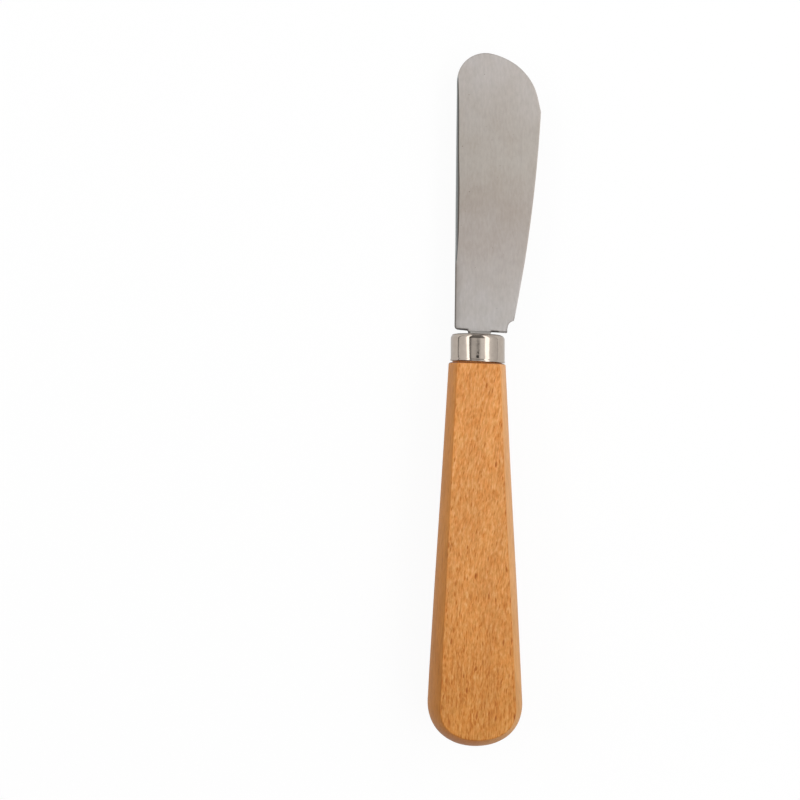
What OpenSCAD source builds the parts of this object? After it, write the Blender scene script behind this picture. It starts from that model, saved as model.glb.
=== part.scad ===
// Small butter knife: a ground steel blade whose tang is glued into a beech handle, under a polished ferrule.
// The knife lies on the underside flat of its handle, its tip towards +Y and its cutting edge towards +X.
// Each piece is drawn along the knife's own axis, from the tail at zero, and then laid down.

/* [Handle] */
// Length of the wood from the tail to the shoulder under the ferrule
handle_length = 83.3; // [70:0.1:100]
// Width of the handle where it is widest, near the tail
tail_width = 20.6; // [18:0.1:24]
// Thickness between the two flats at the tail
tail_thickness = 14.8; // [13:0.1:16]
// Radius of the crowned sides, seen along the handle
side_crown_r = 11.5; // [10.5:0.1:14]
// Length of the rounded tail, from its end to where the handle is widest
tail_round = 9.15; // [7:0.05:12]
// How far the wood stands out past the ferrule on each side
shoulder_side_ledge = 0.3; // [0.1:0.05:1]
// How far each flat stands out past the ferrule
shoulder_flat_ledge = 0.12; // [0.1:0.01:0.6]

/* [Ferrule] */
// Outside diameter just above the flared foot
ferrule_d = 11.8; // [11:0.1:13]
// Height from the shoulder to the closed end
ferrule_height = 6; // [4:0.1:10]
// Thickness of the drawn metal
ferrule_wall = 0.5; // [0.3:0.05:0.8]
// Outside radius of the rounded edge at the closed end
ferrule_edge_r = 0.9; // [0.85:0.05:1.5]
// How far the foot flares out on each side
foot_flare = 0.06; // [0.02:0.01:0.09]
// Height of the flared foot
foot_height = 0.7; // [0.3:0.1:1.5]

/* [Blade] */
// Length of the blade from its base to the tip
blade_length = 60.3; // [54:0.1:75]
// Greatest width of the blade, at the corner between belly and edge
blade_width = 18.3; // [16:0.1:22]
// Width of the blade at the heel
heel_width = 13.2; // [12:0.1:15]
// Height of the heel above the base
heel_height = 3.1; // [2.6:0.1:5]
// Distance from the tip back to the corner between belly and edge
corner_from_tip = 12.7; // [11.5:0.1:14]
// Radius of the rounded tip on the spine side
tip_r = 6.1; // [5:0.1:6.8]
// Radius of the belly, from the tip round to the corner
belly_r = 13.3; // [12.5:0.1:13.6]
// Radius of the long convex cutting edge, seen from the front
edge_sweep_r = 335; // [150:5:900]
// Thickness along the spine
spine_thickness = 1.5; // [1:0.05:1.55]
// Thickness left at the cutting edge
edge_thickness = 0.5; // [0.2:0.05:0.8]
// Length of the lens-shaped relief ground on the spine
relief_length = 40; // [20:1:44]
// Greatest width of that relief, seen from the front
relief_width = 0.8; // [0.3:0.05:0.9]

/* [Tang] */
// Thickness of the steel stock, left whole on the tang
stock_thickness = 1.6; // [1.6:0.05:2]
// Width of the neck above the ferrule
neck_width = 4.85; // [4:0.05:5.5]
// Width of the tang at its far end
tang_end_width = 3.4; // [2.5:0.1:4]
// Length of the tang below the shoulder of the handle
tang_depth = 42; // [25:1:55]
// Clear space between the neck and the slot in the ferrule
slot_clearance = 0.15; // [0.05:0.05:0.3]
// Thinnest film of adhesive between tang and wood
glue_film = 0.2; // [0.1:0.05:0.4]

/* [Hidden] */

// Steps of the round shapes: turned pieces, the hull's discs, the grinding wheel, and each arc of an outline
round_steps = 96;
hull_steps = 48;
wheel_steps = 256;
arc_steps = 16;
// How far a cutting shape runs past what it cuts
overrun = 1;

// How far the neck stands off the knife's axis, towards the edge
neck_offset = 0.46;
// Gap between the ferrule and the blade's base, and how far that base slopes, in degrees
base_gap = 0.64;
base_lean = 3.4;
// Distance of the spine from the axis at the heel and at the tip
spine_heel_offset = 5;
spine_tip_offset = 4.78;
// Rounding of the spine's lower corner, and of the corners between base and neck
spine_corner_r = 0.8;
neck_fillet_r = 0.4;
// Direction in which tip arc and belly arc meet, off the axis, and where the belly ends, in degrees
belly_lean = 10.7;
belly_end_angle = 10.6;
// Concave notch under the heel: radius, depth in from the heel, height above the base, end in degrees
notch_r = 1.65;
notch_depth = 1.57;
notch_height = 0.55;
notch_end_angle = 100;
// How far the small spur under the notch is set back
spur_setback = 0.15;
// Where along the blade the spine's relief is deepest, and how far it tilts from the face, in degrees
relief_share = 0.56;
relief_tilt = 32;
// Chamfers at the end of the tang
tang_chamfer = 1;

// Fit of the tenon in the ferrule, all round and at its end
tenon_clearance = 0.05;
tenon_end_gap = 0.2;
// Depth of the bore past the end of the tang
bore_end_room = 2;

// Places along and across the axis, worked out from the sizes
ferrule_top = handle_length + ferrule_height;
blade_base = ferrule_top + base_gap;
knife_length = blade_base + blade_length;
foot_d = ferrule_d + 2 * foot_flare;
shoulder_width = foot_d + 2 * shoulder_side_ledge;
shoulder_thickness = foot_d + 2 * shoulder_flat_ledge;
flat_lean = atan((tail_thickness - shoulder_thickness) / 2 / handle_length);

tip_centre = [tip_r - spine_tip_offset, blade_length - tip_r];
belly_centre = tip_centre - (belly_r - tip_r) * [sin(belly_lean), cos(belly_lean)];
corner = [blade_width - spine_tip_offset, blade_length - corner_from_tip];
heel = [heel_width - spine_heel_offset, heel_height];
notch_centre = [heel[0] - notch_depth + notch_r, notch_height];
spur_x = heel[0] - notch_depth - spur_setback;
neck_left = neck_offset - neck_width / 2;
neck_right = neck_offset + neck_width / 2;
tang_length = base_gap + ferrule_height + tang_depth;

bore_r = norm([neck_right, stock_thickness / 2]) + glue_film;
bore_depth = tang_depth + bore_end_room;
tenon_r = ferrule_d / 2 - ferrule_wall - tenon_clearance;
tenon_length = ferrule_height - ferrule_wall - tenon_end_gap;

// Points on an arc, from one angle to the other
function arc(centre, r, from, to) =
    [for (i = [0:arc_steps]) let (a = from + (to - from) * i / arc_steps) centre + r * [cos(a), sin(a)]];

// Centre of the arc of radius r that bulges to the right of the way from p to q
function arc_centre(p, q, r) =
    (p + q) / 2 + sqrt(r * r - pow(norm(q - p), 2) / 4) / norm(q - p) * [p[1] - q[1], q[0] - p[0]];

// Direction from one point to another
function direction(from, to) = atan2(to[1] - from[1], to[0] - from[0]);

// Height of the blade's sloping base line at a place across the blade
function base_at(x) = -x * tan(base_lean);

// Lays a piece down: the underside flat becomes level at zero height, and the origin
// goes to the middle of the knife's length and width
module laid_down() {
    translate([(tail_width / 2 - corner[0]) / 2,
               -knife_length / 2 * cos(flat_lean),
               tail_thickness / 2 * cos(flat_lean)])
        rotate([-flat_lean, 0, 0])
            children();
}

// Outline of the blade with its tang, from the front, with zero at the blade's base on the axis
module blade_outline() {
    edge_centre = arc_centre(heel, corner, edge_sweep_r);
    spine_corner = [spine_corner_r - spine_heel_offset, base_at(-spine_heel_offset) + spine_corner_r];
    left_fillet = [neck_left - neck_fillet_r, base_at(neck_left - neck_fillet_r) - neck_fillet_r];
    right_fillet = [neck_right + neck_fillet_r, base_at(neck_right + neck_fillet_r) - neck_fillet_r];
    tang_left = neck_offset - tang_end_width / 2;
    tang_right = neck_offset + tang_end_width / 2;
    polygon(concat(
        [[spur_x, base_at(spur_x)]],
        arc(notch_centre, notch_r, 180, notch_end_angle),
        arc(edge_centre, edge_sweep_r, direction(edge_centre, heel), direction(edge_centre, corner)),
        arc(belly_centre, belly_r, belly_end_angle, 90 - belly_lean),
        arc(tip_centre, tip_r, 90 - belly_lean, 180),
        arc(spine_corner, spine_corner_r, 180, 270),
        arc(left_fillet, neck_fillet_r, 90, 0),
        [[neck_left, -base_gap - ferrule_height],
         [tang_left, tang_chamfer - tang_length],
         [tang_left + tang_chamfer, -tang_length],
         [tang_right - tang_chamfer, -tang_length],
         [tang_right, tang_chamfer - tang_length],
         [neck_right, -base_gap - ferrule_height]],
        arc(right_fillet, neck_fillet_r, 180, 90)));
}

// What the grinding leaves between the blade's two flat faces, which close up from spine to edge
module ground_faces() {
    spine_x = -spine_heel_offset;
    edge_x = corner[0];
    taper = (spine_thickness - edge_thickness) / 2 / (edge_x - spine_x);
    thick = spine_thickness / 2 + taper * overrun;
    thin = edge_thickness / 2 - taper * overrun;
    translate([0, blade_length + overrun, 0])
        rotate([90, 0, 0])
            linear_extrude(height = blade_length + tang_length)
                polygon([[spine_x - overrun, -thick], [edge_x + overrun, -thin],
                         [edge_x + overrun, thin], [spine_x - overrun, thick]]);
}

// The zone of neck and tang, where the stock keeps its full thickness
module tang_zone() {
    zone_width = neck_width + 2 * neck_fillet_r;
    translate([neck_offset - zone_width / 2, -tang_length - overrun, -stock_thickness])
        cube([zone_width, tang_length + overrun - base_gap / 2, 2 * stock_thickness]);
}

// What a grinding wheel takes off the front corner of the spine, as a long shallow lens
module spine_relief() {
    depth = relief_width * sin(relief_tilt);
    wheel_r = (pow(relief_length / 2, 2) + depth * depth) / (2 * depth);
    reach = wheel_r - depth;
    wheel_width = 2 * stock_thickness;
    translate([-(spine_heel_offset + spine_tip_offset) / 2, relief_share * blade_length, spine_thickness / 2])
        rotate([0, -relief_tilt, 0])
            translate([0, 0, reach])
                rotate([0, 90, 0])
                    cylinder(h = 2 * wheel_width, r = wheel_r, center = true, $fn = wheel_steps);
}

// Steel blade, neck and tang in one piece
module blade() {
    color("silver")
        laid_down()
            translate([0, blade_base, 0])
                difference() {
                    intersection() {
                        linear_extrude(height = stock_thickness, center = true)
                            blade_outline();
                        union() {
                            ground_faces();
                            tang_zone();
                        }
                    }
                    spine_relief();
                    mirror([0, 0, 1])
                        spine_relief();
                }
}

// Half of the ferrule's section: radius across and height above the shoulder
module ferrule_section() {
    r = ferrule_d / 2;
    inner_r = r - ferrule_wall;
    inner_edge_r = ferrule_edge_r - ferrule_wall;
    inner_top = ferrule_height - ferrule_wall;
    polygon(concat(
        [[r + foot_flare, 0], [r, foot_height]],
        arc([r - ferrule_edge_r, ferrule_height - ferrule_edge_r], ferrule_edge_r, 0, 90),
        [[0, ferrule_height], [0, inner_top]],
        arc([inner_r - inner_edge_r, inner_top - inner_edge_r], inner_edge_r, 90, 0),
        [[inner_r, 0]]));
}

// Polished ferrule: a drawn cup on the tenon, with a slot for the neck in its closed end
module ferrule() {
    slot_width = neck_width + 2 * slot_clearance;
    slot_height = stock_thickness + 2 * slot_clearance;
    color("gainsboro")
        laid_down()
            translate([0, handle_length, 0])
                difference() {
                    rotate([-90, 0, 0])
                        rotate_extrude($fn = round_steps)
                            ferrule_section();
                    translate([neck_offset, ferrule_height - ferrule_wall / 2, 0])
                        cube([slot_width, ferrule_wall + 2 * overrun, slot_height], center = true);
                }
}

// Disc with a crowned rim: turned, the rim's section is an arc of the handle's sides
module crowned_disc(r) {
    rotate_extrude($fn = hull_steps)
        intersection() {
            translate([r - side_crown_r, 0])
                circle(r = side_crown_r, $fn = 2 * hull_steps);
            translate([0, -tail_thickness])
                square([r + overrun, 2 * tail_thickness]);
        }
}

// Body of the handle before its flats are cut: it tapers from the oval tail to the shoulder
module handle_blank() {
    hull() {
        translate([0, tail_round, 0])
            scale([1, tail_round / (tail_width / 2), 1])
                crowned_disc(tail_width / 2);
        translate([0, handle_length, 0])
            crowned_disc(shoulder_width / 2);
    }
}

// The wood between the two leaning flats, from behind the tail to the shoulder
module flats_wedge() {
    behind = tail_thickness / 2 + overrun * tan(flat_lean);
    front = shoulder_thickness / 2;
    rotate([90, 0, 90])
        linear_extrude(height = 2 * tail_width, center = true)
            polygon([[-overrun, -behind], [handle_length, -front],
                     [handle_length, front], [-overrun, behind]]);
}

// Beech handle: a tapered body with two flats, a round tenon for the ferrule and a bore for the tang
module handle() {
    color("burlywood")
        laid_down()
            difference() {
                union() {
                    intersection() {
                        flats_wedge();
                        handle_blank();
                    }
                    translate([0, handle_length - overrun, 0])
                        rotate([-90, 0, 0])
                            cylinder(h = tenon_length + overrun, r = tenon_r, $fn = round_steps);
                }
                translate([0, handle_length - bore_depth, 0])
                    rotate([-90, 0, 0])
                        cylinder(h = bore_depth + tenon_length + overrun, r = bore_r, $fn = round_steps);
            }
}

// Hardened adhesive: it fills the bore up to the tenon's end, around the tang
module adhesive() {
    color("lightgoldenrodyellow")
        laid_down()
            difference() {
                translate([0, handle_length - bore_depth, 0])
                    rotate([-90, 0, 0])
                        cylinder(h = bore_depth + tenon_length, r = bore_r, $fn = round_steps);
                translate([0, blade_base, 0])
                    linear_extrude(height = stock_thickness, center = true)
                        blade_outline();
            }
}

blade();
ferrule();
handle();
adhesive();
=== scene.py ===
"""Looks of a small butter knife: a brushed steel blade, a polished ferrule and an oiled beech handle."""
import math

import bmesh
import bpy
import numpy as np
from mathutils import Matrix, Vector


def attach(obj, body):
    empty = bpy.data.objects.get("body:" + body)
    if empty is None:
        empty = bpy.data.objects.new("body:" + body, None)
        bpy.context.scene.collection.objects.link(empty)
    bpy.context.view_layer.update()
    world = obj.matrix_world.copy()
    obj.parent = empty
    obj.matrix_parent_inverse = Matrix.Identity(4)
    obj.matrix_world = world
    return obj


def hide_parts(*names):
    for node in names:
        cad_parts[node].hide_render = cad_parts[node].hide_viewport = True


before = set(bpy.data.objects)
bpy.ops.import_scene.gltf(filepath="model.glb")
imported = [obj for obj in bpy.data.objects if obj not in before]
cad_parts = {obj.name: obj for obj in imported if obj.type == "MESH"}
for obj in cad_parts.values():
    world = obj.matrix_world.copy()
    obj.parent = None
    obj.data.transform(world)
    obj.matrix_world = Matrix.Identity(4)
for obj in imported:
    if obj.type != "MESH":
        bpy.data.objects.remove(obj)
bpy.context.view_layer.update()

# Real sizes in millimetres, the same as in the part's source
MM = 0.001

handle_length = 83.3
tail_width = 20.6
tail_thickness = 14.8
side_crown_r = 11.5
tail_round = 9.15
shoulder_side_ledge = 0.3
shoulder_flat_ledge = 0.12

ferrule_d = 11.8
ferrule_height = 6.0
ferrule_wall = 0.5
ferrule_edge_r = 0.9
foot_flare = 0.06
foot_height = 0.7

blade_length = 60.3
blade_width = 18.3
heel_width = 13.2
heel_height = 3.1
corner_from_tip = 12.7
tip_r = 6.1
belly_r = 13.3
edge_sweep_r = 335.0
spine_thickness = 1.5
edge_thickness = 0.5

stock_thickness = 1.6
neck_width = 4.85
tang_end_width = 3.4
tang_depth = 42.0
slot_clearance = 0.15
glue_film = 0.2

neck_offset = 0.46
base_gap = 0.64
base_lean = math.radians(3.4)
spine_heel_offset = 5.0
spine_tip_offset = 4.78
spine_corner_r = 0.8
neck_fillet_r = 0.4
belly_lean = 10.7
belly_end_angle = 10.6
notch_r = 1.65
notch_depth = 1.57
notch_height = 0.55
notch_end_angle = 100.0
spur_setback = 0.15
tang_chamfer = 1.0
tenon_clearance = 0.05
tenon_end_gap = 0.2
bore_end_room = 2.0

ferrule_top = handle_length + ferrule_height
blade_base = ferrule_top + base_gap
knife_length = blade_base + blade_length
foot_d = ferrule_d + 2 * foot_flare
shoulder_width = foot_d + 2 * shoulder_side_ledge
shoulder_thickness = foot_d + 2 * shoulder_flat_ledge
flat_lean = math.atan((tail_thickness - shoulder_thickness) / 2 / handle_length)

tip_centre = np.array([tip_r - spine_tip_offset, blade_length - tip_r])
belly_centre = tip_centre - (belly_r - tip_r) * np.array(
    [math.sin(math.radians(belly_lean)), math.cos(math.radians(belly_lean))])
corner = np.array([blade_width - spine_tip_offset, blade_length - corner_from_tip])
heel = np.array([heel_width - spine_heel_offset, heel_height])
notch_centre = np.array([heel[0] - notch_depth + notch_r, notch_height])
spur_x = heel[0] - notch_depth - spur_setback
neck_left = neck_offset - neck_width / 2
neck_right = neck_offset + neck_width / 2
tang_length = base_gap + ferrule_height + tang_depth

bore_r = math.hypot(neck_right, stock_thickness / 2) + glue_film
bore_depth = tang_depth + bore_end_room
tenon_r = ferrule_d / 2 - ferrule_wall - tenon_clearance
tenon_length = ferrule_height - ferrule_wall - tenon_end_gap

# Small shapes of the finish, which the plain solids leave out
flat_edge_r = 0.22           # rounding sanded on the long edges of the flats
shoulder_flat_r = 0.64       # the same beside the ferrule, where they are sanded rounder
shoulder_edge_r = 0.4        # rounding of the wood under the ferrule
shoulder_setback = 0.48      # how far the sanded shoulder lies below its plain place
shoulder_slant = 0.03        # its fall towards the edge side, per mm across
tail_ease = 1.05             # the flats end further in round the tail than at the sides
side_ease = 0.888            # the same at the widest place
tail_bluntness = 0.088       # the tail is this much fuller than an ellipse
tail_edge_gain = 0.1         # the flats' edges are this much rounder at the tail's end
edge_side_crown_gain = 2.9   # the side under the cutting edge is sanded flatter towards the tail
side_pull = 0.02             # wood sanded off each side everywhere
waist_pull = 0.11            # and more of it towards the ferrule
palm_fullness = 0.08         # less of it where the palm lies
spine_tail_pull = 0.06       # and more again at the tail on the spine side
hand_wave = 0.02             # unevenness that the sanding hand leaves
tenon_trim = 0.15            # sanded off the tenon's end
tenon_chamfer = 0.2          # and off its corner
foot_reach = 0.2             # the cup's trimmed rim reaches below the plain shoulder
foot_slant = 0.046           # and slopes, as a drawn cup's rim does, per mm across
cap_drop = 0.21              # the cup's closed end lies a little lower than planned
cap_slant = 0.027            # and falls towards the edge side, per mm across
cup_shift = 0.125            # the cup's outside lies a little towards the edge side
least_half = 0.04            # half the thickness that grinding leaves at the least
spine_edge_r = 0.12          # rounding of the spine's corners
bevel_width = 0.22           # micro-bevel on the cutting edge
bevel_drop = 0.035           # how far the bevel falls on each face
base_drop = 0.1              # the ground base line lies a little lower than planned
rim_shade_width = 0.5             # painted shade along the base and the neck
spine_trim = 0.07            # ground off the spine's lower end
heel_trim = 0.06             # ground off the edge near the heel
tip_drop = 0.05              # the tip is this much lower on the spine side
tip_fullness = 0.13          # and this much fuller on the edge side
cap_edge_r = 1.05            # rounding of the cup's end, widened by buffing
# the relief ground on the spine's corner: heights above the base and widths there
relief_heights = (11.0, 14.8, 17.9, 21.4, 25.0, 30.0, 37.0, 43.9, 52.0, 54.9, 56.6)
relief_widths = (0.0, 0.26, 0.52, 0.70, 0.78, 0.76, 0.62, 0.54, 0.44, 0.3, 0.0)
relief_tilt = math.radians(32)

# Where the photograph has the knife: picture points, in pixels from the top left
PICTURE = 800
PIXELS_PER_MM = 4.597
AXIS_AT_CENTRE_ROW = 476.75  # the knife's axis, on the row through the picture's centre
TAIL_ROW = 743.6             # the tail's end, at the height of the axis
KNIFE_TURN = math.radians(0.40)
CAMERA_ABOVE_AXIS = 271.0    # mm
SENSOR = 36.0                # the camera's sensor width, mm


# Geometry helpers
CRISP_FROM = math.radians(38)  # an edge stays crisp where its faces turn by more than this


def laid_down(across, along, out):
    """Knife coordinates in mm to the frame in metres: turned about the across axis by the lean of the
    flats, then moved so that the underside flat lies at zero height and the origin is mid-length."""
    across, along, out = np.broadcast_arrays(across, along, out)
    c, s = math.cos(flat_lean), math.sin(flat_lean)
    x = across + (tail_width / 2 - corner[0]) / 2
    y = along * c + out * s - knife_length / 2 * c
    z = -along * s + out * c + tail_thickness / 2 * c
    return np.stack([x, y, z], -1) * MM


def arc(centre, r, start, end, count):
    """Points on a circle of radius r about centre, from one angle to another in degrees."""
    a = np.radians(np.linspace(start, end, count))
    return np.stack([centre[0] + r * np.cos(a), centre[1] + r * np.sin(a)], -1)


def arc_centre(p, q, r):
    """Centre of the circle of radius r through p and q that bulges to the right of the way from p to q."""
    d = q - p
    n = np.array([-d[1], d[0]]) / np.linalg.norm(d)
    return (p + q) / 2 + n * math.sqrt(r * r - d @ d / 4)


def spaced(path, count):
    """A polyline resampled to count points, evenly by its length."""
    path = np.array(path, float)
    steps = np.linalg.norm(np.diff(path, axis=0), axis=1)
    run = np.concatenate([[0], np.cumsum(steps)])
    spots = np.linspace(0, 1, count) * run[-1]
    return np.stack([np.interp(spots, run, path[:, k]) for k in range(path.shape[1])], -1)


def smooth(t):
    """Zero below 0, one above 1 and an even S-curve between."""
    t = np.clip(t, 0, 1)
    return t * t * (3 - 2 * t)


def make_piece(name, points, attributes, wrap_rows=False):
    """A mesh from a grid of points (rows, columns, 3): each cell is a face, doubled points are merged,
    and the faces of the closed shell are turned outwards. Attributes are values on the points."""
    rows, columns = points.shape[:2]
    index = np.arange(rows * columns).reshape(rows, columns)
    if wrap_rows:
        index = np.concatenate([index, index[:1]], 0)
    quads = np.stack([index[:-1, :-1], index[1:, :-1], index[1:, 1:], index[:-1, 1:]], -1).reshape(-1, 4)
    mesh = bpy.data.meshes.new(name)
    mesh.from_pydata(points.reshape(-1, 3).tolist(), [], quads.tolist())
    for key, values in attributes.items():
        layer = mesh.attributes.new(key, "FLOAT", "POINT")
        layer.data.foreach_set("value", values.astype(np.float32).ravel())
    shell = bmesh.new()
    shell.from_mesh(mesh)
    bmesh.ops.remove_doubles(shell, verts=shell.verts, dist=1e-7)
    bmesh.ops.dissolve_degenerate(shell, edges=shell.edges, dist=1e-8)
    bmesh.ops.recalc_face_normals(shell, faces=shell.faces)
    shell.to_mesh(mesh)
    shell.free()
    mesh.polygons.foreach_set("use_smooth", np.ones(len(mesh.polygons), bool))
    mesh.set_sharp_from_angle(angle=CRISP_FROM)
    piece = bpy.data.objects.new(name, mesh)
    bpy.context.scene.collection.objects.link(piece)
    return piece


def hand_worn(along, across, out):
    """Slow unevenness of hand-sanded wood: three long waves of different lengths added up, in mm."""
    waves = np.sin(along / 9.7 + across / 7.3 + 0.6) + 0.7 * np.sin(along / 5.1 - out / 4.9 + 2.1)
    return hand_wave * (waves + 0.5 * np.sin(along / 16.3 + out / 6.1 + 4.0)) / 2.2


# Handle
def handle_side_line():
    """Half widths of the handle's plan between tail oval and shoulder: the straight line that touches
    both the tail's ellipse and the shoulder's circle. Returns its angle and its distance from the tail's
    middle."""
    a, b = tail_width / 2, tail_round
    r, gap = shoulder_width / 2, handle_length - tail_round
    turns = np.radians(np.linspace(0, 10, 20001))
    miss = np.sqrt((a * np.cos(turns)) ** 2 + (b * np.sin(turns)) ** 2) - r - gap * np.sin(turns)
    turn = turns[np.argmin(np.abs(miss))]
    return turn, math.sqrt((a * math.cos(turn)) ** 2 + (b * math.sin(turn)) ** 2)


def flat_height(along):
    """Half thickness between the leaning flats, at a place along the handle."""
    return tail_thickness / 2 - along * math.tan(flat_lean)


def half_section(width, height, crown_r, edge_r):
    """Half of the handle's section, from the middle of the underside round one crowned side to the
    middle of the top: an arc of crown_r, tangent arcs of edge_r, then the flats. Each argument is a
    column of values, one for each section. Also returns which columns are flat and which lie on the
    edge between side and flat."""
    crown_n, edge_n, flat_n = 15, 7, 12
    t_crown = np.linspace(0, 1, crown_n)[None]
    t_edge = np.linspace(0, 1, edge_n)[None, 1:]
    t_flat = (np.linspace(0, 1, flat_n)[None, 1:]) ** 2
    middle = width - crown_r
    edge_v = middle + np.sqrt((crown_r - edge_r) ** 2 - (height - edge_r) ** 2)
    edge_w = height - edge_r
    turn = np.arctan2(edge_w, edge_v - middle)
    a = turn * t_crown
    b = turn + (np.pi / 2 - turn) * t_edge
    v = np.concatenate([middle + crown_r * np.cos(a), edge_v + edge_r * np.cos(b), edge_v * (1 - t_flat)], 1)
    w = np.concatenate([crown_r * np.sin(a), edge_w + edge_r * np.sin(b), height + 0 * t_flat], 1)
    is_flat = np.concatenate([0 * t_crown, 0 * t_edge, 0 * t_flat + 1], 1)[0] > 0
    at_edge = np.concatenate([0 * t_crown, 0 * t_edge + 1, 0 * t_flat], 1)[0]
    at_edge[crown_n - 1] = 0.7
    mirror = [np.concatenate([row[:0:-1], row]) for row in (is_flat, at_edge)]
    return np.concatenate([v[:, :0:-1], v], 1), np.concatenate([-w[:, :0:-1], w], 1), *mirror


def handle_half(crown_gain):
    """Half of the handle's shell, as knife coordinates on a grid, and how near each point lies to the edges
    of the flats. Lines run from the middle of the underside, round the crowned side, to the middle of the
    top; they are set side by side from the bore, over the tenon and the shoulder, down the side and round
    the tail. The crown's radius grows by crown_gain towards the tail."""
    turn, reach = handle_side_line()

    def side_width(along):
        """Half the width, on the straight line down the side."""
        return (reach - (along - tail_round) * math.sin(turn)) / math.cos(turn)

    def crown_r(along):
        """Radius of the crowned side: it grows in an S-curve from 0.75 of the length down to 0.05."""
        return side_crown_r + crown_gain * smooth((handle_length * 0.75 - along) / (handle_length * 0.7))

    touch = tail_round + tail_round ** 2 * math.sin(turn) / reach
    shoulder = handle_length - shoulder_setback

    # rounded shoulder: each section is set in by the same amount on all sides
    tau = np.radians(np.linspace(90, 0, 9))[:, None]
    inset = shoulder_edge_r * (1 - np.cos(tau))
    along = shoulder - shoulder_edge_r + shoulder_edge_r * np.sin(tau)
    v, w = half_section(side_width(along) - inset, flat_height(along) - inset, side_crown_r - inset,
                        shoulder_flat_r - inset)[:2]
    round_shoulder = np.stack([v, np.broadcast_to(along, v.shape), w], -1)

    # end face, tenon and bore: circles that meet the lines of the shoulder's section by angle
    angle = np.arctan2(w[0], v[0])

    def ring(r, u):
        """A circle of radius r about the axis, at place u, with its points at those angles."""
        return np.stack([r * np.cos(angle), np.full_like(angle, u), r * np.sin(angle)], -1)

    tenon_end = handle_length + tenon_length - tenon_trim
    bottom = handle_length - bore_depth
    lines = []
    for r, u in ((0, bottom), (bore_r * 0.5, bottom), (bore_r, bottom), (bore_r, bottom + 15),
                 (bore_r, bottom + 30), (bore_r, tenon_end), (tenon_r - tenon_chamfer, tenon_end),
                 (tenon_r, tenon_end - tenon_chamfer), (tenon_r, handle_length + 1), (tenon_r, shoulder)):
        lines.append(ring(r, u)[None])
    lines.append(round_shoulder)

    # straight sides down to the tail, with rounder edges over the last 9 mm to the ferrule
    along = np.linspace(shoulder - shoulder_edge_r, touch, 58)[1:, None]
    near_shoulder = smooth((along - handle_length + 9) / 9)
    edge_r = flat_edge_r + (shoulder_flat_r - flat_edge_r) * near_shoulder
    v, w = half_section(side_width(along), flat_height(along), crown_r(along), edge_r)[:2]
    lines.append(np.stack([v, np.broadcast_to(along, v.shape), w], -1))

    # rounded tail: the same section carried round a full ellipse, with its flats ending in one point
    start = math.asin((touch - tail_round) / tail_round)
    phi = np.linspace(-start, np.pi / 2, 40)[1:, None]
    ease = side_ease + (tail_ease - side_ease) * smooth(np.sin(phi))
    width = tail_width / 2 + 0 * phi
    tail_crown_r = side_crown_r + (crown_r(tail_round) - side_crown_r) * np.cos(phi) ** 2
    sag = tail_crown_r - np.sqrt(tail_crown_r ** 2 - (tail_thickness / 2) ** 2)
    edge_along = tail_round - (tail_round - ease * sag) * np.sin(phi)
    edge_r = flat_edge_r + tail_edge_gain * smooth(np.sin(phi))
    v, w, flat, at_edge = half_section(width, flat_height(edge_along), tail_crown_r, edge_r)
    in_v = width - v
    flat_start = np.where(flat, -1.0, in_v).max(1)[:, None]
    share = np.where(flat, v / (width - flat_start), 1.0)
    reach_u = np.where(flat, (tail_round - ease * flat_start) * share, tail_round - ease * in_v)
    u = tail_round - reach_u * np.sin(phi)
    v = v * np.cos(phi) * (1 + tail_bluntness * np.sin(phi) ** 2)
    w = np.where(flat, np.sign(w) * flat_height(u), w)
    lines.append(np.stack([v, u, w], -1))

    # the halves meet on the middle lines and at the tail's end
    half = np.concatenate(lines, 0)
    half[-1, :, 0] = 0
    half[:, 0, 0] = 0
    half[:, -1, 0] = 0
    first_side_line = len(half) - len(lines[-2]) - len(lines[-1])
    on_body = np.arange(len(half)) >= first_side_line
    return half, on_body[:, None] * at_edge[None]


def handle_points():
    """Closed shell of the handle: its half under the cutting edge, then the other half, mirrored and run
    backwards. Also returns how near each point is to the joint under the ferrule, where shade is painted,
    and to the edges of the flats."""
    right, right_edge = handle_half(edge_side_crown_gain)
    left, left_edge = handle_half(0.0)
    left, left_edge = left[::-1][1:].copy(), left_edge[::-1][1:]
    left[..., 0] *= -1
    v, u, w = np.moveaxis(np.concatenate([right, left], 0), -1, 0)

    # sanding by hand: slow unevenness of the crowned sides, slimmer towards the ferrule, fuller in the palm
    outer = (u < handle_length - shoulder_setback + 0.01) & (np.hypot(v, w) > tenon_r + 0.05)
    on_side = outer * smooth((flat_height(u) - np.abs(w) - 0.2) / 2.5)
    pull = on_side * (side_pull + waist_pull * smooth(u / handle_length) + hand_worn(u, v, w))
    pull = np.maximum(pull - palm_fullness * np.exp(-((u - 28) / 14) ** 2), 0)
    pull = pull + spine_tail_pull * (v < 0) * smooth((18 - u) / 12) * on_side
    v = v - np.sign(v) * pull * np.clip(np.abs(v) / 4, 0, 1)
    # painted shade in the joint under the ferrule darkens the end grain and the last 0.3 mm below the
    # shoulder; the slant fades within 6 mm
    stain_and_shade = outer * smooth((u - handle_length + shoulder_setback + 0.3) / 0.28)
    u = u - shoulder_slant * v * outer * smooth((u - handle_length + 6) / 6)
    marks = {"joint_painted_shade": np.maximum(stain_and_shade, u > handle_length - shoulder_setback),
             "flat_edge": np.concatenate([right_edge, left_edge], 0)}
    return laid_down(v, u, w), marks


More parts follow.
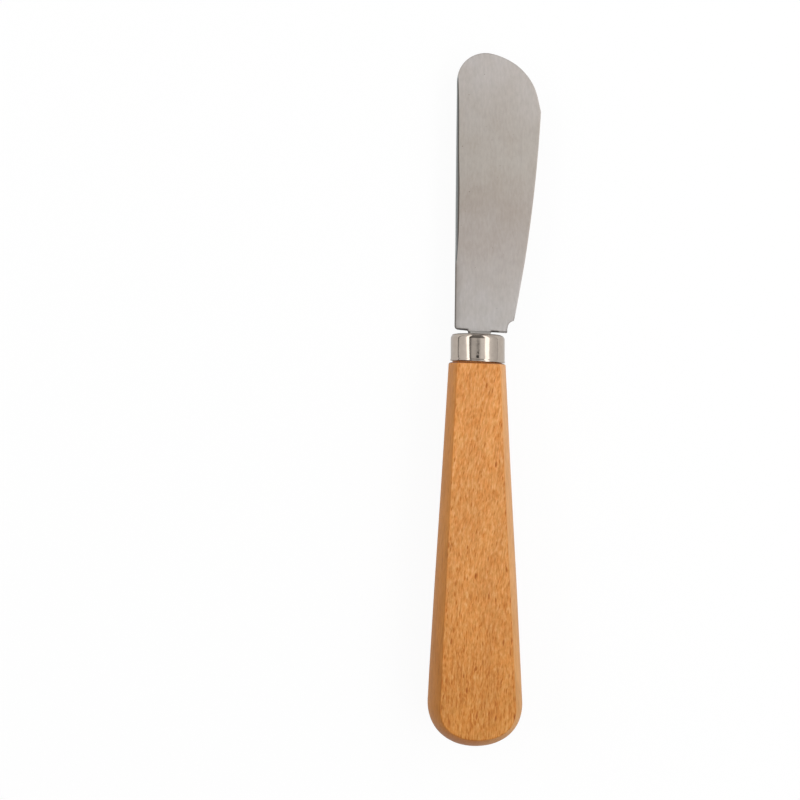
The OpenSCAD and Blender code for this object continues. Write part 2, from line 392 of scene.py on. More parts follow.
# Ferrule
def ferrule_points():
    """Closed shell of the drawn cup: its section (foot, wall, rounded edge, end wall, inside) carried
    round the axis, with the end wall's hole drawn out to a rectangle for the neck. The wall has a faint
    waviness, and the trimmed rim and the end slope a little, as drawn and buffed thin metal does. Also
    returns how much painted shade lies on each point: over the rounded end and below the neck."""
    half_w = neck_width / 2 + slot_clearance
    half_t = stock_thickness / 2 + slot_clearance
    corners = [math.atan2(t, w) for w in (half_w, -half_w) for t in (half_t, -half_t)]
    turn = np.concatenate([np.linspace(-np.pi, np.pi, 181)[:-1], corners])
    turn = np.unique(np.round(turn, 9))[:, None]
    r = ferrule_d / 2
    inner_r = r - ferrule_wall
    inner_edge = ferrule_edge_r - ferrule_wall
    inner_top = ferrule_height - ferrule_wall
    pitch = np.linspace(0, 90, 19)
    outer_edge = arc([r - cap_edge_r, ferrule_height - cap_edge_r], cap_edge_r, 0, 90, len(pitch))
    inside_edge = arc([inner_r - inner_edge, inner_top - inner_edge], inner_edge, 90, 0, 7)
    # the foot is rolled outwards into a narrow bead, with a faint groove above it
    foot_r = r + foot_flare
    foot = np.array([[inner_r, 0.03], [inner_r + 0.04, 0], [foot_r - 0.14, 0], [foot_r - 0.05, 0.03],
                     [foot_r, 0.12], [foot_r, 0.26], [r + 0.03, 0.4], [r - 0.02, 0.5],
                     [r - 0.015, foot_height], [r + 0.005, foot_height + 0.3]])
    wall = np.stack([np.full(8, r), np.linspace(1.4, ferrule_height - cap_edge_r - 0.1, 8)], -1)
    outside = np.concatenate([foot, wall, outer_edge])
    inside = np.concatenate([inside_edge, [[inner_r, 3.0], [inner_r, 0.03]]])
    slot_r = np.minimum(half_w / np.maximum(np.abs(np.cos(turn)), 1e-9),
                        half_t / np.maximum(np.abs(np.sin(turn)), 1e-9))

    def around(profile):
        """A profile carried round the axis: waves on the wall, the outside shifted, and the heights moved
        and sloped as the rim and the closed end are, with an S-curve between."""
        rr, h = profile[None, :, 0], profile[None, :, 1]
        wave = (0.014 * np.sin(3 * turn + 0.8) + 0.008 * np.sin(7 * turn + h / 2.6 + 2.0)
                + 0.006 * np.sin(11 * turn - h / 1.9))
        outer = rr > inner_r + 0.1
        on_wall = smooth(h / 1.2) * smooth((ferrule_height + 0.5 - h) / 1.2)
        shift = cup_shift * np.cos(turn) * smooth((rr - r + 1.2) / 0.9)
        rr = rr + outer * ((wave - 0.02) * on_wall + shift)
        across = rr * np.cos(turn)
        low = -foot_reach - foot_slant * across
        high = -cap_drop - cap_slant * across
        share = smooth(h / ferrule_height)
        return np.stack([across, h + low * (1 - share) + high * share, rr * np.sin(turn)], -1)

    slot_x = neck_offset + slot_r * np.cos(turn)
    slot = np.concatenate([slot_x, -cap_drop - cap_slant * slot_x, slot_r * np.sin(turn)], 1)[:, None]
    edge_of_end = around(outside)[:, -1:]
    end_levels = []
    for share in (0.3, 0.6, 0.85, 0.97):
        end_levels.append(edge_of_end * (1 - share) + (slot + [0, ferrule_height, 0]) * share)
    hole = [slot + [0, ferrule_height - 0.06, 0], slot + [0, inner_top, 0]]
    grid = np.concatenate([around(outside), *end_levels, *hole, around(inside)], 1)

    # painted shade over the end: nothing on the wall, rising late over the rounded edge, full on the end
    # wall; and painted shade below the neck, on the first part of the rounding only and from 2.2 mm left to
    # 1.6 mm right
    start, stop = len(foot) + len(wall), len(outside)
    end_shade = np.zeros(grid.shape[1])
    end_shade[start:stop] = smooth((pitch - 55) / 20)
    end_shade[stop:] = 1
    below = np.zeros(grid.shape[1])
    below[start:stop] = smooth((pitch + 3) / 10) * smooth((24 - pitch) / 14)
    x = grid[..., 0]
    beside = smooth((x + 2.2) / 0.5) * smooth((1.6 - x) / 0.7)
    marks = {"end_painted_shade": 0 * turn + end_shade, "neck_shade": below * beside}
    return laid_down(grid[..., 0], handle_length + grid[..., 1], grid[..., 2]), marks


# Blade
def base_at(x):
    """Height of the blade's sloping base line."""
    return -x * math.tan(base_lean) - base_drop


def relief_width_at(y):
    """Width of the relief on the spine's corner, between its chosen places: it opens from the tip and
    closes quickly below its widest part. A faint waver is from the hand that held it to the wheel."""
    width = np.interp(y, relief_heights, relief_widths)
    return np.maximum(width * (1 + 0.03 * np.sin(y / 2.3) + 0.02 * np.sin(y / 5.2 + 1)), spine_edge_r)


def blade_points():
    """Closed shell of the blade with its tang. Lines run from a middle line to the outline on top, down
    the narrow wall, and back to the middle line below; they are set side by side along the edge side and
    mirrored back along the spine side. Their height is that of the ground wedge, less the bevel on the
    edge, the rounding on the spine and the relief ground along it. Also returns, for each point, how far
    it lies in that relief, which carries painted reflection, how much painted shade lies on it along the
    rim, and how much painted shade darkens it on the neck, which the grinding leaves at full thickness."""
    edge_centre = arc_centre(heel, corner, edge_sweep_r)

    def heading(p):
        """Direction from the centre of the edge's curve to p, in degrees."""
        return math.degrees(math.atan2(*(p - edge_centre)[::-1]))

    left_fillet = [neck_left - neck_fillet_r, base_at(neck_left - neck_fillet_r) - neck_fillet_r]
    right_fillet = [neck_right + neck_fillet_r, base_at(neck_right + neck_fillet_r) - neck_fillet_r]
    spine_corner = [spine_corner_r - spine_heel_offset, base_at(-spine_heel_offset) + spine_corner_r]
    tang_left, tang_right = neck_offset - tang_end_width / 2, neck_offset + tang_end_width / 2
    tang_end = [neck_offset, -tang_length]
    neck_foot = -base_gap - ferrule_height

    counts = (30, 20, 76, 46)  # points along base, notch, edge and tip
    heel_step = 0.12
    heel_top = heel_height + heel_step
    heel_start = heel + [0.012, heel_step]
    # each stretch: the outline on the edge side, the outline on the spine side, the middle line
    tang_e = [tang_end, [tang_right - tang_chamfer, -tang_length], [tang_right, tang_chamfer - tang_length],
              [neck_right, neck_foot], [neck_right, right_fillet[1]]]
    tang_s = [tang_end, [tang_left + tang_chamfer, -tang_length], [tang_left, tang_chamfer - tang_length],
              [neck_left, neck_foot], [neck_left, left_fillet[1]]]
    tang_m = [tang_end, [neck_offset, -tang_length + 0.3], [neck_offset, -tang_length + 1.2],
              [neck_offset, neck_foot], [neck_offset, -0.9]]
    spur = np.array([spur_x, base_at(spur_x)])
    spur_round = arc([spur_x - 0.16, spur[1] + 0.17], 0.16, -85, 0, 6)
    base_e = np.concatenate([arc(right_fillet, neck_fillet_r, 180, 90, 9), spur_round])
    base_s = np.concatenate([arc(left_fillet, neck_fillet_r, 0, 90, 9),
                             arc(spine_corner, spine_corner_r, 270, 180, 14)])
    notch_e = np.concatenate([spur_round[-1:], arc(notch_centre, notch_r, 180, notch_end_angle, 17)[1:],
                              [heel - [0.03, heel_step], heel_start]])
    spine_low = spine_corner[1]
    spine_slope = (spine_heel_offset - spine_tip_offset) / (tip_centre[1] - spine_low)

    def spine_at(y):
        """Points on the spine's straight line, at heights y above the base."""
        return np.stack([-spine_heel_offset + (y - spine_low) * spine_slope, y], -1)

    notch_s = spine_at(np.linspace(spine_low, heel_top, 20))
    edge_e = arc(edge_centre, edge_sweep_r, heading(heel_start), heading(corner), 140)
    edge_s = spine_at(np.linspace(heel_top, corner[1], 140))
    tip_e = np.concatenate([arc(belly_centre, belly_r, belly_end_angle, 90 - belly_lean, 60),
                            arc(tip_centre, tip_r, 90 - belly_lean, 90, 9)[1:]])
    tip_s = np.concatenate([spine_at(np.linspace(corner[1], tip_centre[1], 12)),
                            arc(tip_centre, tip_r, 180, 90, 50)[1:]])
    middle_x = 2.0

    def trimmed(rim):
        """The outline as the grinder left it: plan, less each trim times S-curves that fade out."""
        x, y = rim[:, 0], rim[:, 1]
        fuller = smooth((y - 50) / 4) * smooth((x - 5) / 4) * smooth((blade_length - y) / 2)
        x_new = x + spine_trim * smooth((30 - y) / 20) * (x < -4) * (y > 0) + tip_fullness * fuller
        x_new = x_new - heel_trim * smooth((16 - y) / 8) * smooth((x - 5) / 2) * (y > 0)
        return np.stack([x_new, y - tip_drop * smooth((3 - x) / 4) * smooth((y - 54) / 4)], -1)

    def tang_like(path):
        """A line through the tang's five corners, with points added evenly along each stretch."""
        path = np.array(path, float)
        spots = np.concatenate([np.linspace(0, 2, 5)[:-1], np.linspace(2, 3, 6)[:-1], np.linspace(3, 4, 7)])
        return np.stack([np.interp(spots, np.arange(5), path[:, k]) for k in range(2)], -1)

    def joined(tang, *stretches):
        """The tang's line and the stretches end to end: each stretch is spaced by its count and leaves out
        the point that it shares with the one before."""
        return np.concatenate([tang_like(tang), *[spaced(s, n)[1:] for s, n in zip(stretches, counts)]])

    edge = trimmed(joined(tang_e, base_e, notch_e, edge_e, tip_e))
    spine = trimmed(joined(tang_s, base_s, notch_s, edge_s, tip_s))
    middle = joined(tang_m, [[neck_offset, -0.9], [0.9, 1.6]], [[0.9, 1.6], [1.2, heel_top]],
                    [[1.2, heel_top], [middle_x, corner[1]]],
                    [[middle_x, corner[1]], [middle_x - 0.2, blade_length - 7.0]])

    wall = np.array([0.6, 0.0, -0.6])
    near_e = np.array([0, .03, .08, .16, .32, .36, .45, .6, .85, 1.2])
    near_s = np.array([0, .12, .3, .5, .7, .9, 1.0])
    after_s = np.array([.03, .1, .25, .5])
    far = np.linspace(0, 1, 13)[1:]

    def side(rim, on_spine):
        """One side of the blade: points at distances d from the rim, on straight ways to the middle line,
        lifted to the height there on both faces."""
        length = np.linalg.norm(middle - rim, axis=1)[:, None]
        width = relief_width_at(rim[:, 1])[:, None]
        near = np.concatenate([near_s * width, width + after_s], 1) if on_spine else near_e + 0 * length
        near = near * np.minimum(1, length / 2.6)
        d = np.concatenate([near, near[:, -1:] + (length - near[:, -1:]) * far], 1)
        way = (middle - rim) / np.maximum(length, 1e-9)
        x = rim[:, :1] + way[:, :1] * d
        y = rim[:, 1:] + way[:, 1:] * d
        blade_zone = smooth((y + 0.5) / 0.45)
        taper = (spine_thickness - edge_thickness) / 2 / (corner[0] + spine_heel_offset)
        ground = spine_thickness / 2 - taper * (x + spine_heel_offset)
        height = ground * blade_zone + stock_thickness / 2 * (1 - blade_zone)
        relief = np.zeros_like(height)
        round_off = spine_edge_r * (1 - np.sqrt(1 - (1 - np.clip(d / spine_edge_r, 0, 1)) ** 2))
        if on_spine:
            in_relief = np.clip(1 - d / width, 0, 1)
            tilted = smooth((width - 0.16) / 0.2)
            cut = width * in_relief * math.tan(relief_tilt) * (0.75 + 0.35 * in_relief)
            height = height - np.where(tilted > 0, cut * tilted + round_off * (1 - tilted), round_off)
            in_zone = (d < width * 1.001) & (tilted > 0.02) & (rim[:, 1:] > 2)
            strength = 0.55 + 0.45 * smooth((rim[:, 1:] - 14) / 9)
            relief = in_zone * tilted * (0.3 + 0.7 * strength * np.clip(d / width, 0, 1))
        else:
            keen = smooth((rim[:, 1:] - 4.0) / 2.0) * smooth((blade_length - 0.2 - rim[:, 1:]) / 2.5)
            bevel = np.clip(1 - d / bevel_width, 0, 1) * bevel_drop
            height = height - bevel * keen - round_off * (1 - keen)
        height = np.maximum(height, least_half)
        above = y - base_at(x)
        beside_neck = np.abs(x - neck_offset) - neck_width / 2
        # the neck below the base line is darkened as painted shade between blade and ferrule
        neck_painted_shade = (1 - smooth((above + 0.1) / 0.25)) * (beside_neck < 1)
        # painted shade lies along the base beside the neck, fainter towards the spur, and down the neck's
        # left edge
        along_base = smooth(beside_neck / 0.25 + 0.3) * (1 - 0.85 * smooth((x - 4.4) / 0.5))
        rim_shade = np.clip(1.6 - 1.6 * above / rim_shade_width, 0, 1) * along_base * (above > -0.3) * (y < 1.5)
        # painted shade along the outline too: a thin darker rim, stronger low on the spine and near the heel,
        # and on the spine side a soft shade over 1.3 mm below the relief
        if on_spine:
            low = smooth((19 - rim[:, 1:]) / 6)
            rim_dark = 0.12 + 0.4 * low
            soft = 0.25 * np.clip(1 - d / 1.3, 0, 1) * low * (above > -0.1)
            rim_shade = np.maximum(rim_shade, 0.9 * (above < 0) * np.clip(1.6 - 1.6 * d / rim_shade_width, 0, 1))
        else:
            rim_dark = 0.1 + 0.3 * smooth((3.6 - rim[:, 1:]) / 0.8) * (above > -0.1)
            soft = 0
        rim_shade = np.maximum(rim_shade, np.clip(1.3 - 1.3 * d / 0.36, 0, 1) * rim_dark + soft)
        walls = height[:, :1] * wall[None]
        z = np.concatenate([height[:, ::-1], walls, -height], 1)

        def both_faces(values):
            """Values of the top face, the wall and the bottom face, side by side."""
            return np.concatenate([values[:, ::-1], values[:, :1] + 0 * walls, values], 1)

        marked = [both_faces(values) for values in (relief, rim_shade, neck_painted_shade)]
        return np.stack([both_faces(x), both_faces(y), z, *marked], -1)

    edge_side, spine_side = side(edge, False), side(spine, True)
    # the spine side has more points across, so the edge side repeats the middle one of its wall
    extra = spine_side.shape[1] - edge_side.shape[1]
    half = edge_side.shape[1] // 2
    repeats = np.repeat(edge_side[:, half:half + 1], extra, 1)
    edge_side = np.concatenate([edge_side[:, :half], repeats, edge_side[:, half:]], 1)
    grid = np.concatenate([edge_side, spine_side[::-1][1:]], 0)
    marks = {"spine_relief": grid[..., 3], "rim_painted_shade": grid[..., 4], "neck_painted_shade": grid[..., 5]}
    return laid_down(grid[..., 0], blade_base + grid[..., 1], grid[..., 2]), marks


# Materials
def colour(hex_code):
    """An sRGB hex colour as the linear RGBA that Blender's sockets hold."""
    parts = [int(hex_code[k:k + 2], 16) / 255 for k in (1, 3, 5)]
    linear = [c / 12.92 if c <= 0.04045 else ((c + 0.055) / 1.055) ** 2.4 for c in parts]
    return (*linear, 1.0)


def add(tree, kind, inputs=None, stops=(), **settings):
    """Adds one node: inputs are values or sockets to link, by name or number, stops the places and hex
    colours of a Color Ramp, in rising order, and settings its properties. Returns its outputs."""
    n = tree.nodes.new(kind)
    for key, value in settings.items():
        setattr(n, key, value)
    for key, value in (inputs or {}).items():
        if isinstance(value, bpy.types.NodeSocket):
            tree.links.new(value, n.inputs[key])
        else:
            n.inputs[key].default_value = value
    for k, (position, hex_code) in enumerate(stops):
        band = n.color_ramp.elements
        stop = band[k] if k < 2 else band.new(position)
        stop.position = position
        stop.color = colour(hex_code)
    return n.outputs


def new_material(name):
    """An empty node material, its tree, the socket for its surface and the object coordinates in metres."""
    m = bpy.data.materials.new(name)
    m.use_nodes = True
    t = m.node_tree
    t.nodes.clear()
    out = t.nodes.new("ShaderNodeOutputMaterial").inputs["Surface"]
    place = add(t, "ShaderNodeTexCoord")["Object"]
    return m, t, out, place


def streaks(tree, place, size, detail=2.0, shift=(0, 0, 0)):
    """Noise drawn out along the knife: size is the width, length and depth of its cells in mm."""
    per_cell = [1 / (c * MM) for c in size]
    cells = add(tree, "ShaderNodeMapping", {"Vector": place, "Location": shift, "Scale": per_cell})[0]
    noise = {"Vector": cells, "Scale": 1.0, "Detail": detail, "Roughness": 0.6}
    return add(tree, "ShaderNodeTexNoise", noise)[0]


def flecks(tree, place, size, reach, least, shift=(0, 0, 0)):
    """Ellipsoids, at most one to each cell: size is a cell's in mm, reach the fleck's share of it, and
    cells whose chance lies under least stay empty."""
    per_cell = [1 / (c * MM) for c in size]
    cells = add(tree, "ShaderNodeMapping", {"Vector": place, "Location": shift, "Scale": per_cell})[0]
    spots = add(tree, "ShaderNodeTexVoronoi", {"Vector": cells, "Scale": 1.0})
    rim = {"Value": spots["Distance"], "From Min": reach, "From Max": reach * 0.4}
    inside = add(tree, "ShaderNodeMapRange", rim, interpolation_type="SMOOTHSTEP")
    chance = add(tree, "ShaderNodeSeparateColor", {"Color": spots["Color"]})["Red"]
    chance = add(tree, "ShaderNodeMapRange", {"Value": chance, "From Min": least})[0]
    return add(tree, "ShaderNodeMath", {0: inside[0], 1: chance}, operation="MULTIPLY")[0]


def layered(tree, base, layers):
    """A colour multiplied by the colours of several ramps: a layer is what drives its ramp, and its stops."""
    for driver, stops in layers:
        tone = add(tree, "ShaderNodeValToRGB", {"Fac": driver}, stops=stops)[0]
        if base is not None:
            tone = add(tree, "ShaderNodeVectorMath", {0: base, 1: tone}, operation="MULTIPLY")[0]
        base = tone
    return base


# Colours along the knife: place (0 to 1 from tail to ferrule, and from base to tip) and sRGB colour; they
# hold painted light: the wood darkens towards the tail as painted shade, the steel in the blade's middle as
# painted reflection
BEECH_TONE_AND_SHADE = [(0.05, "#dca66b"), (0.25, "#e1aa74"), (0.5, "#e9b485"), (1.0, "#f3bc8f")]
STEEL_TONE_AND_REFLECTION = [(0.0, "#bdb9b7"), (0.3, "#b5ada8"), (0.45, "#b1a8a1"), (0.6, "#b6afa8"), (0.75, "#b7b0aa"),
               (1.0, "#c2bcb9")]


def oiled_beech():
    """Beech, flat-sawn, sanded and oiled: rays show as short dark flecks on the flats and as fine straight
    lines on the sides; the oil warms it and leaves a low sheen. The palest tone of the wood is set by the
    place along the handle, with painted shade towards the tail, and each layer of the pattern darkens it."""
    m, t, out, place = new_material("oiled beech")
    x, y, z = add(t, "ShaderNodeSeparateXYZ", {"Vector": place})
    # the grain leans to the knife's axis, more so towards the ferrule: x less 0.16 y less 0.9 y squared
    bend = add(t, "ShaderNodeMath", {0: y, 1: 0.9, 2: 0.16}, operation="MULTIPLY_ADD")[0]
    bend = add(t, "ShaderNodeMath", {0: bend, 1: y}, operation="MULTIPLY")[0]
    leant = add(t, "ShaderNodeMath", {0: x, 1: bend}, operation="SUBTRACT")[0]
    leant = add(t, "ShaderNodeCombineXYZ", {"X": leant, "Y": y, "Z": z})[0]
    # and wavers by up to 0.4 mm
    drift = add(t, "ShaderNodeTexNoise", {"Vector": leant, "Scale": 1 / (5 * MM), "Detail": 2.0})
    waver = {0: drift["Color"], 1: [0.9 * MM] * 3, 2: leant}
    grain = add(t, "ShaderNodeVectorMath", waver, operation="MULTIPLY_ADD")[0]

    big = flecks(t, grain, (0.8, 2.6, 5.0), 0.34, 0.5)                       # rays cut long
    middle = flecks(t, grain, (0.37, 1.5, 4.0), 0.5, 0.15, (0.4, 1.9, 4.0))  # the common ray fleck
    # fibres, drawn as coarse as they need to show: long ones and short ones in equal parts
    long_fibre = streaks(t, grain, (0.33, 3.2, 0.9))
    short_fibre = streaks(t, grain, (0.33, 1.05, 0.9), shift=(2.1, 5.3, 0.7))
    fibre = add(t, "ShaderNodeMix", {0: 0.5, 2: long_fibre, 3: short_fibre})[0]
    hue = streaks(t, grain, (0.8, 1.8, 2.0), shift=(3.3, 8.1, 1.7))
    long_line = streaks(t, place, (0.3, 13.0, 0.3), detail=3.0)
    short_line = streaks(t, place, (0.3, 1.6, 0.3), detail=3.0, shift=(4.4, 2.6, 1.1))
    line = add(t, "ShaderNodeMix", {0: 0.5, 2: long_line, 3: short_line})[0]
    cloud = streaks(t, grain, (4.5, 14.0, 5.0), detail=3.0)

    # the flats face straight up or down, the sides do not
    facing = add(t, "ShaderNodeTexCoord")["Normal"]
    facing = add(t, "ShaderNodeSeparateXYZ", {"Vector": facing})
    level = add(t, "ShaderNodeMath", {0: facing["Z"]}, operation="ABSOLUTE")[0]
    flat = add(t, "ShaderNodeMapRange", {"Value": level, "From Min": 0.72, "From Max": 0.93})[0]
    # the end faces back: end grain, with painted shade on it as well; the side under the spine is darkened
    # as painted shade
    back = add(t, "ShaderNodeMapRange", {"Value": facing["Y"], "From Min": -0.4, "From Max": -0.8})[0]
    side = add(t, "ShaderNodeMapRange", {"Value": x, "From Min": 2 * MM, "From Max": -2 * MM})[0]
    # painted shade: the wood is a little darker and redder towards the tail
    reach = {"Value": y, "From Min": -75 * MM, "From Max": 8 * MM}
    along = add(t, "ShaderNodeMapRange", reach)[0]
    # the edges of the flats are a little darker, and painted shade in the joint under the ferrule darkens
    # the end grain at the shoulder
    edge_mark = add(t, "ShaderNodeAttribute", attribute_name="flat_edge")["Fac"]
    joint_shade_mark = add(t, "ShaderNodeAttribute", attribute_name="joint_painted_shade")["Fac"]

    flat_layers = [(fibre, [(0.36, "#d9b97d"), (0.5, "#efdba9"), (0.66, "#fffaea")]),
                   (hue, [(0.36, "#fff0d8"), (0.64, "#fffdf6")]),
                   (middle, [(0.0, "#ffffff"), (1.0, "#dfbe75")]),
                   (big, [(0.0, "#ffffff"), (1.0, "#cca452")])]
    side_layers = [(line, [(0.36, "#e1d2a8"), (0.5, "#f9ecca"), (0.64, "#fffcec")]),
                   (side, [(0.0, "#ffffff"), (1.0, "#efd8a6")]),
                   (back, [(0.0, "#ffffff"), (1.0, "#e8dcc6")])]
    on_flat = layered(t, None, flat_layers)
    on_side = layered(t, None, side_layers)
    pattern = add(t, "ShaderNodeMix", {0: flat, 6: on_side, 7: on_flat}, data_type="RGBA")[2]
    wood = layered(t, pattern, [(along, BEECH_TONE_AND_SHADE),
                                (cloud, [(0.3, "#eeebe8"), (0.7, "#ffffff")]),
                                (edge_mark, [(0.0, "#ffffff"), (1.0, "#f7f0de")]),
                                (joint_shade_mark, [(0.0, "#ffffff"), (1.0, "#8a5a35")])])

    gloss = add(t, "ShaderNodeMapRange", {"Value": fibre, "To Min": 0.42, "To Max": 0.58})[0]
    pores = add(t, "ShaderNodeMath", {0: big, 1: -0.7, 2: fibre}, operation="MULTIPLY_ADD")[0]
    bump = add(t, "ShaderNodeBump", {"Height": pores, "Distance": 0.03 * MM, "Strength": 0.6})[0]
    look = {"Base Color": wood, "Roughness": gloss, "Normal": bump, "IOR": 1.5, "Specular IOR Level": 0.3}
    t.links.new(add(t, "ShaderNodeBsdfPrincipled", look)[0], out)
    return m


def brushed_steel():
    """Stainless steel, ground flat and belt-brushed along the blade: short fine lines, a soft grey without
    a clear reflection, faint stains and specks. Painted reflection darkens the blade's middle and the
    ground relief along the spine, and painted shade darkens the neck and the rim."""
    m, t, out, place = new_material("brushed stainless steel")
    # brush lines drawn as coarse as they need to show
    fine = streaks(t, place, (0.46, 1.6, 2.0), detail=3.0)
    broad = streaks(t, place, (1.3, 22.0, 4.0))
    stain_and_shade = streaks(t, place, (6.0, 6.0, 6.0), detail=5.0)
    speck = flecks(t, place, (1.7, 1.7, 1.7), 0.09, 0.2)
    y = add(t, "ShaderNodeSeparateXYZ", {"Vector": place})["Y"]
    # the steel's tone along the blade, darker in the middle as painted reflection of the dark camera above
    along = add(t, "ShaderNodeMapRange", {"Value": y, "From Min": 15 * MM, "From Max": 75 * MM})[0]
    face = layered(t, None, [(along, STEEL_TONE_AND_REFLECTION),
                             (fine, [(0.3, "#f1f1f0"), (0.7, "#ffffff")]),
                             (broad, [(0.3, "#fbfbfb"), (0.7, "#ffffff")]),
                             (stain_and_shade, [(0.35, "#f9f7f4"), (0.65, "#ffffff")]),
                             (speck, [(0.0, "#ffffff"), (1.0, "#b0aaa4")])])
    # painted reflection on the ground relief: bluish grey outside, a thin brownish line where it meets the
    # face, for the dark surroundings that its tilted facet reflects
    depth = add(t, "ShaderNodeAttribute", attribute_name="spine_relief")["Fac"]
    relief_reflection_stops = [(0.3, "#a9acab"), (0.55, "#7b7f80"), (0.85, "#504943"), (1.0, "#585049")]
    ground = add(t, "ShaderNodeValToRGB", {"Fac": depth}, stops=relief_reflection_stops)[0]
    inside = add(t, "ShaderNodeMapRange", {"Value": depth, "From Min": 0.02, "From Max": 0.3})[0]
    face = add(t, "ShaderNodeMix", {0: inside, 6: face, 7: ground}, data_type="RGBA")[2]
    # painted shade: the neck darkened, and a darker rim along neck, base, notch and spine
    neck_shade_mark = add(t, "ShaderNodeAttribute", attribute_name="neck_painted_shade")["Fac"]
    face = add(t, "ShaderNodeMix", {0: neck_shade_mark, 6: face, 7: colour("#a6a29d")}, data_type="RGBA")[2]
    rim_shade = add(t, "ShaderNodeAttribute", attribute_name="rim_painted_shade")["Fac"]
    face = layered(t, face, [(rim_shade, [(0.0, "#ffffff"), (0.5, "#bab7b4"), (1.0, "#64615f")])])
    rough = add(t, "ShaderNodeMapRange", {"Value": fine, "To Min": 0.34, "To Max": 0.46})[0]
    bump = add(t, "ShaderNodeBump", {"Height": fine, "Distance": 0.004 * MM, "Strength": 0.5})[0]
    across = add(t, "ShaderNodeCombineXYZ", {"X": 1.0})[0]
    look = {"Base Color": face, "Metallic": 1.0, "Roughness": rough, "Normal": bump, "Anisotropic": 0.6,
            "Tangent": across}
    t.links.new(add(t, "ShaderNodeBsdfPrincipled", look)[0], out)
    return m


def polished_metal():
    """Steel cup, deep-drawn, nickel-plated and buffed: a clear bright reflection, a little uneven, with
    painted shade that darkens it over the rounded end and below the neck."""
    m, t, out, place = new_material("polished metal")
    haze = add(t, "ShaderNodeTexNoise", {"Vector": place, "Scale": 1 / (1.1 * MM), "Detail": 4.0})[0]
    dents = add(t, "ShaderNodeTexNoise", {"Vector": place, "Scale": 1 / (2.4 * MM), "Detail": 1.0})[0]
    # painted shade over the rounded end, and below the neck
    end = add(t, "ShaderNodeAttribute", attribute_name="end_painted_shade")["Fac"]
    neck = add(t, "ShaderNodeAttribute", attribute_name="neck_shade")["Fac"]
    metal = layered(t, None, [(haze, [(0.3, "#aca197"), (0.7, "#b4a99e")]),
                              (end, [(0.0, "#ffffff"), (1.0, "#8c8986")]),
                              (neck, [(0.0, "#ffffff"), (1.0, "#858280")])])
    rough = add(t, "ShaderNodeMapRange", {"Value": haze, "To Min": 0.05, "To Max": 0.1})[0]
    bump = add(t, "ShaderNodeBump", {"Height": dents, "Distance": 0.025 * MM, "Strength": 0.5})[0]
    look = {"Base Color": metal, "Metallic": 1.0, "Roughness": rough, "Normal": bump}
    t.links.new(add(t, "ShaderNodeBsdfPrincipled", look)[0], out)
    return m


def cured_epoxy():
    """Two-part epoxy, poured and cured in the bore: amber, slightly cloudy, with small bubbles."""
    m, t, out, place = new_material("cured epoxy")
    cloud = add(t, "ShaderNodeTexNoise", {"Vector": place, "Scale": 1 / (3 * MM), "Detail": 3.0})[0]
    bubbles = add(t, "ShaderNodeTexVoronoi", {"Vector": place, "Scale": 1 / (0.9 * MM)})["Distance"]
    amber = [(0.3, "#c9a763"), (0.7, "#dcc48c")]
    amber = add(t, "ShaderNodeValToRGB", {"Fac": cloud}, stops=amber)[0]
    pits = add(t, "ShaderNodeMapRange", {"Value": bubbles, "From Min": 0.08, "From Max": 0.16})[0]
    bump = add(t, "ShaderNodeBump", {"Height": pits, "Distance": 0.08 * MM, "Strength": 0.6})[0]
    look = {"Base Color": amber, "Roughness": 0.3, "Normal": bump, "IOR": 1.55}
    t.links.new(add(t, "ShaderNodeBsdfPrincipled", look)[0], out)
    return m


# Pieces
def fit(piece, node, material):
    """Gives a piece its material and makes it ride and stand for its CAD node."""
    piece.data.materials.append(material)
    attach(piece, "root")
    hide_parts(node)


grid, marks = handle_points()
fit(make_piece("beech_handle", grid, marks), "handle", oiled_beech())
grid, marks = ferrule_points()
ferrule = make_piece("polished_ferrule", grid, marks, wrap_rows=True)
fit(ferrule, "ferrule", polished_metal())
grid, marks = blade_points()
fit(make_piece("steel_blade", grid, marks), "blade", brushed_steel())

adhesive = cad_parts["adhesive"]
adhesive.data.materials.clear()
adhesive.data.materials.append(cured_epoxy())


# Studio: floor, light and camera
LIGHT = 1.15                 # level of all lamps together
TENT_R = 0.5                 # radius of the light tent, in metres


def stage_panel(name, centre, size, material):
    """A level rectangle of the studio, size wide and long, in metres."""
    spread = np.array([[-1, -1, 0], [1, -1, 0], [1, 1, 0], [-1, 1, 0]]) * [size[0] / 2, size[1] / 2, 0]
    mesh = bpy.data.meshes.new(name)
    mesh.from_pydata((spread + centre).tolist(), [], [(0, 1, 2, 3)])
    panel = bpy.data.objects.new(name, mesh)
    panel.data.materials.append(material)
    bpy.context.scene.collection.objects.link(panel)
    return panel


def white_floor():
    """White board, matt. Straight views and reflections see it white; a share of it stays lit by the
    lamps, so that the knife's soft shadow shows."""
    m, t, out = new_material("white board")[:3]
    rays = add(t, "ShaderNodeLightPath")
    seen = add(t, "ShaderNodeMath", {0: rays["Is Camera Ray"], 1: rays["Is Glossy Ray"]}, operation="MAXIMUM")
    seen = add(t, "ShaderNodeMath", {0: seen[0], 1: rays["Is Transmission Ray"]}, operation="MAXIMUM")
    # a reflection keeps more of the knife's shadow than the straight view
    most = add(t, "ShaderNodeMapRange", {"Value": rays["Is Camera Ray"], "To Min": 0.42, "To Max": 0.93})
    share = {0: seen[0], 1: most[0]}
    share = add(t, "ShaderNodeMath", share, operation="MULTIPLY")[0]
    tones = {0: seen[0], 6: colour("#959595"), 7: colour("#f9f9f9")}
    board = add(t, "ShaderNodeMix", tones, data_type="RGBA")[2]
    matt = add(t, "ShaderNodeBsdfDiffuse", {"Color": board})[0]
    white = add(t, "ShaderNodeEmission", {"Color": colour("#ffffff"), "Strength": 1.0})[0]
    both = add(t, "ShaderNodeMixShader", {0: share, 1: matt, 2: white})[0]
    t.links.new(both, out)
    return m


